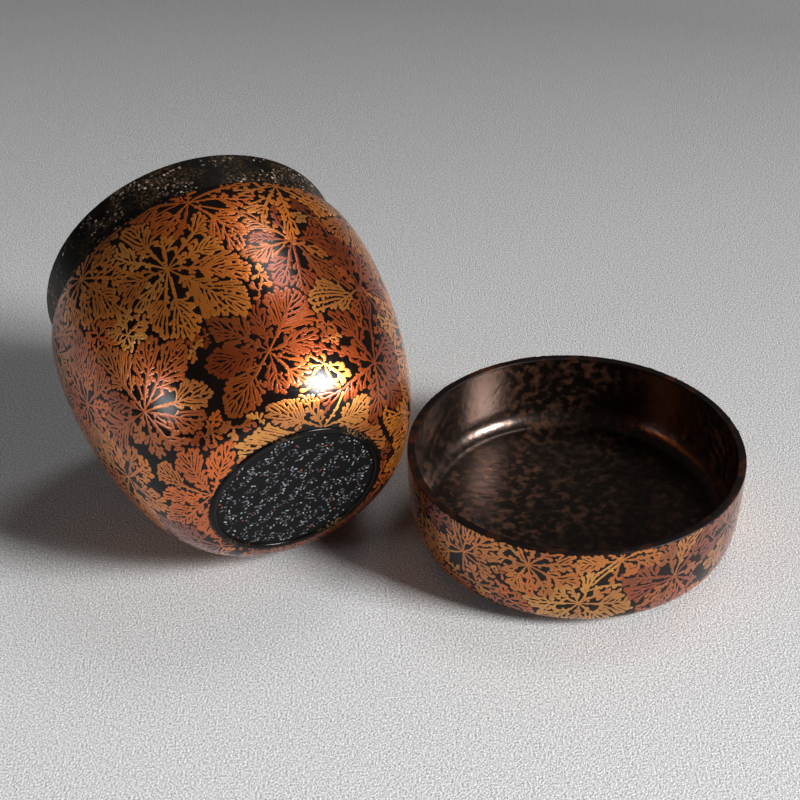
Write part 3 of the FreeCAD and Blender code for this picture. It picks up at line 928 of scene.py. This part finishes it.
def flakes(name, body, place, normal, length, width, turn, tints, map_turn, map_rise):
    """Flat lens-shaped flakes, each a fan of triangles on an oval that is turned in the surface."""
    first = unit(np.cross(normal, [0.3, 0.2, 1.0]))
    second = np.cross(normal, first)
    along = np.cos(turn)[:, None] * first + np.sin(turn)[:, None] * second
    side_way = np.cross(normal, along)
    k = np.arange(FLAKE_CORNERS)
    angle = k / FLAKE_CORNERS * 2 * np.pi
    ring = (place[:, None] + np.cos(angle)[:, None] * (along * length[:, None] / 2)[:, None]
            + np.sin(angle)[:, None] * (side_way * width[:, None] / 2)[:, None]
            - FLAKE_SUNK * normal[:, None])
    points = np.concatenate([ring, (place + FLAKE_RISE * normal)[:, None]], 1).reshape(-1, 3)
    fan = np.stack([np.full(FLAKE_CORNERS, FLAKE_CORNERS), k, (k + 1) % FLAKE_CORNERS], 1)
    faces = (np.arange(len(place))[:, None, None] * (FLAKE_CORNERS + 1) + fan).reshape(-1, 3)
    piece = add_mesh(name, placed(points, body), faces, body, dulled_flake)
    tints = np.repeat(tints, FLAKE_CORNERS + 1, axis=0)
    tint_and_map(piece, faces, tints, map_turn(points), map_rise(points))


def drifts(rng, place, field_place, size, loose, least, apart):
    """Places where a random field of a size, loosened by noise, is over the least, kept apart."""
    field = waves(rng, field_place, size) + rng.normal(0, loose, len(place))
    return thin(place[field > least], apart)


def foot_flakes():
    """Short silver dashes in loose bands on the sunk disc, with a few copper specks."""
    rng = np.random.default_rng(5)
    reach = panel_radius - 0.4
    spot = rng.uniform(-reach, reach, (5200, 2))
    spot = spot[np.hypot(*spot.T) < reach]
    spot = drifts(rng, spot, spot * [1.0, 1.7], size=5.0, loose=0.8, least=0.5, apart=0.5)
    count = len(spot)
    place = np.c_[spot, np.full(count, panel_face)]
    length = rng.uniform(0.4, 0.95, count)
    width = rng.uniform(0.28, 0.46, count)
    turn = rng.uniform(0, np.pi, count)
    metals = np.array([srgb(code) for code in ("#767c83", "#4a4e53", "#a2a8ae", "#8a5236")])
    tints = metals[rng.choice(len(metals), count, p=(0.36, 0.42, 0.18, 0.04))]
    flakes("foot_flakes", "vessel", place, np.tile([0, 0, -1.0], (count, 1)), length, width, turn,
           tints, lambda p: 0.25 + 0.5 * (p[:, 0] / FOOT_RADIUS * 0.5 + 0.5),
           lambda p: p[:, 1] / FOOT_RADIUS * 0.5 + 0.5)


def neck_dust():
    """Pale gold and brownish specks in drifts round the neck."""
    rng = np.random.default_rng(9)
    tried = 7000
    angle = rng.uniform(0, 2 * np.pi, tried)
    z = rng.uniform(VESSEL_HEIGHT + 0.5, MOUTH_HEIGHT - 0.6, tried)
    place = np.stack([NECK_RADIUS * np.cos(angle), NECK_RADIUS * np.sin(angle), z], 1)
    place = drifts(rng, place, place, size=7.0, loose=0.7, least=0.7, apart=0.4)
    count = len(place)
    length = rng.uniform(0.25, 0.85, count)
    width = length * rng.uniform(0.5, 0.9, count)
    turn = rng.uniform(0, np.pi, count)
    metals = np.array([srgb(code) for code in ("#5c4a3c", "#41352d", "#8c7866", "#bfa890")])
    tints = metals[rng.choice(len(metals), count, p=(0.4, 0.3, 0.22, 0.08))]
    flakes("neck_dust", "vessel", place, unit(place * [1, 1, 0]), length, width, turn,
           tints, turn_share, lambda p: (p[:, 2] - VESSEL_HEIGHT) / NECK_HEIGHT)


foot_flakes()
neck_dust()
lid_outline = np.vstack([curve(LID_SIDE, 121), dome(LID_SIDE[-1], LID_HEIGHT, 60)[1:]])
leaf_pattern("vessel", side, eye=26.0, seed=12, spacing=15.5, edges=(0.15, 0.2), painted_shade_share=1.0)
# The lid's leaves get painted shade: their powders are darkened to 0.78
leaf_pattern("lid", lid_outline, eye=0.0, seed=11, spacing=12.0, edges=(0.15, 0.0), painted_shade_share=0.78)


def set_place(thing, axes, origin):
    """Puts a lamp or the camera at the origin with its own x, y and z along the three axes."""
    rows = np.eye(4)
    rows[:3, :3] = np.stack(axes, 1)
    rows[:3, 3] = origin
    thing.matrix_world = Matrix(rows.tolist())


# Camera fitted to the photograph: rows are right, down and ahead
CAMERA_PLACE = (1.842, -263.181, 205.219)
CAMERA_ROWS = ((0.99837, -0.0321, -0.04716), (-0.05705, -0.56174, -0.82535),
               (0.0, 0.82669, -0.56265))
camera_data = bpy.data.cameras.new("camera")
camera_data.sensor_width = 36
camera_data.lens = 72
camera_data.clip_start = 0.01
camera = bpy.data.objects.new("camera", camera_data)
bpy.context.scene.collection.objects.link(camera)
right, down, ahead = np.array(CAMERA_ROWS)
set_place(camera, (right, -down, -ahead), np.array(CAMERA_PLACE) * MM)
bpy.context.scene.camera = camera

# Grey laid paper under the object: a fine fibre grain, and a painted light falloff that makes it
# paler towards the viewer and darker away from it
sheet, place = finish("grey_sheet")
fibre = node(sheet, NOISE, {"Scale": across(0.42), "Detail": 3.0, "Roughness": 0.6},
             {"Vector": place})[0]
stretched = node(sheet, RANGE, {"From Min": 0.3, "From Max": 0.7}, {"Value": fibre})[0]
grey = node(sheet, MIX, {"data_type": "RGBA", FIRST: srgb("#8e8e8f"), SECOND: srgb("#e2e2e2")},
            {0: stretched})[MIXED]
# Painted light falloff: the sheet's colour is scaled from 1.25 near the viewer down to 0.437 far
# off
depth = node(sheet, VECTOR_MATH, {"operation": "DOT_PRODUCT", 1: (0.4, 1, 0)}, {0: place})["Value"]
painted_falloff = node(sheet, RANGE, {"From Min": -0.15, "From Max": 0.3, "To Min": 1.25, "To Max": 0.437},
            {"Value": depth})[0]
colour = node(sheet, VECTOR_MATH, {"operation": "SCALE"}, {0: grey, "Scale": painted_falloff})[0]
relief = node(sheet, BUMP, {"Distance": 0.25 * MM}, {"Height": fibre})[0]
surface = node(sheet, PRINCIPLED, {"Roughness": 0.9}, {"Base Color": colour, "Normal": relief})[0]
node(sheet, OUTPUT, {}, {"Surface": surface})
FLOOR_REACH = 2
floor_mesh = bpy.data.meshes.new("floor")
floor_mesh.from_pydata([(FLOOR_REACH * x, FLOOR_REACH * y, 0)
                        for x, y in ((-1, -1), (1, -1), (1, 1), (-1, 1))], [], [(0, 1, 2, 3)])
floor_mesh.materials.append(sheet)
floor = bpy.data.objects.new("floor", floor_mesh)
bpy.context.scene.collection.objects.link(floor)


def lamp(name, direction, distance, size, power, target=(0, 0, 0.03)):
    """Square area lamp that shines at the target from a direction."""
    data = bpy.data.lights.new(name, "AREA")
    data.shape = "SQUARE"
    data.size = size
    data.energy = power
    light = bpy.data.objects.new(name, data)
    bpy.context.scene.collection.objects.link(light)
    towards = unit(np.array(direction, float))
    side_axis = unit(np.cross([0, 0, 1.0], towards))
    place = np.array(target) + distance * towards
    set_place(light, (side_axis, np.cross(towards, side_axis), towards), place)


lamp("key", direction=(0.78, -0.42, 0.455), distance=1.5, size=0.44, power=45)
lamp("fill", direction=(-0.85, -0.42, 0.29), distance=1.0, size=0.22, power=1.5)
lamp("top", direction=(0.34, 0.34, 0.87), distance=1.2, size=0.36, power=2.3)

world = bpy.data.worlds.new("studio")
bpy.context.scene.world = world
world.use_nodes = True
background = world.node_tree.nodes["Background"]
background.inputs["Color"].default_value = srgb("#b4b4b4")
background.inputs["Strength"].default_value = 0.08
bpy.context.scene.view_settings.view_transform = "Standard"
